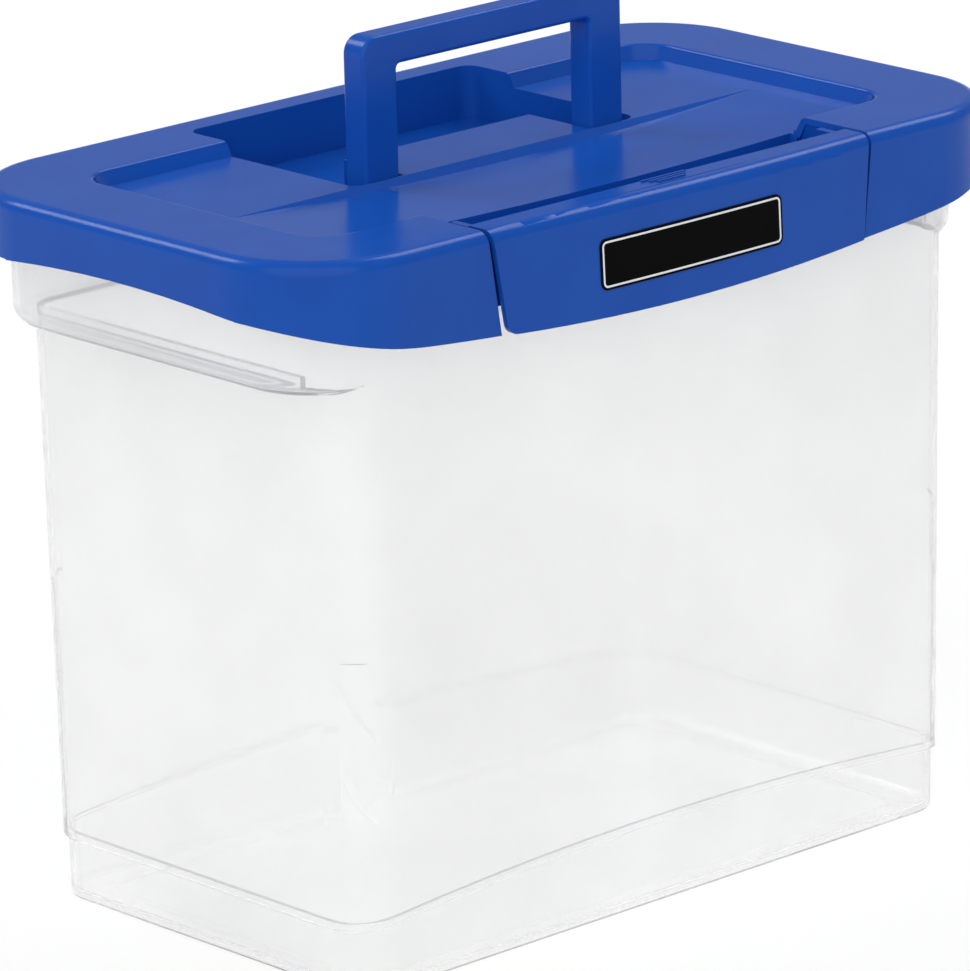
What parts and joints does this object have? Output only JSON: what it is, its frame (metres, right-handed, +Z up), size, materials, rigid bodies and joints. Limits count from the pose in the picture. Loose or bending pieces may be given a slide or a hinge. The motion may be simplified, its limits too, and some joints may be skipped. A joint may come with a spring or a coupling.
{
  "type": "portable file box",
  "caption": "Clear plastic file box with a hinged blue lid, a fold-down carry handle, a front latch and a bare label plate; hanging folders ride on its inner rails.",
  "frame": {"origin": "middle of the footprint, on the plane the box stands on", "axes": "+X along the box, from its left end to its right end seen from the latch side; -Y out of the latch side; +Z up"},
  "size_m": [0.3674, 0.218, 0.3295],
  "materials": {
    "clear_tub": "gloss",
    "blue_plastic": "gloss",
    "label_black": "gloss"
  },
  "bodies": {
    "box": {"tub": "clear_tub"},
    "lid": {"lid": "blue_plastic"},
    "handle": {"carry_handle": "blue_plastic"},
    "latch": {"latch": "blue_plastic", "label_plate": "label_black"}
  },
  "joints": [
    {"name": "lid_hinge", "type": "hinge", "parent": "box", "child": "lid", "pos_m": [0, 0.1045, 0.2647], "axis": [-1, 0, 0], "range_deg": [0, 110]},
    {"name": "latch_hinge", "type": "hinge", "parent": "lid", "child": "latch", "pos_m": [0, -0.0827, 0.274], "axis": [-1, 0, 0], "range_deg": [0, 45]},
    {"name": "handle_fold", "type": "hinge", "parent": "lid", "child": "handle", "pos_m": [0, 0.00205, 0.2685], "axis": [-1, 0, 0], "range_deg": [0, 92]}
  ]
}
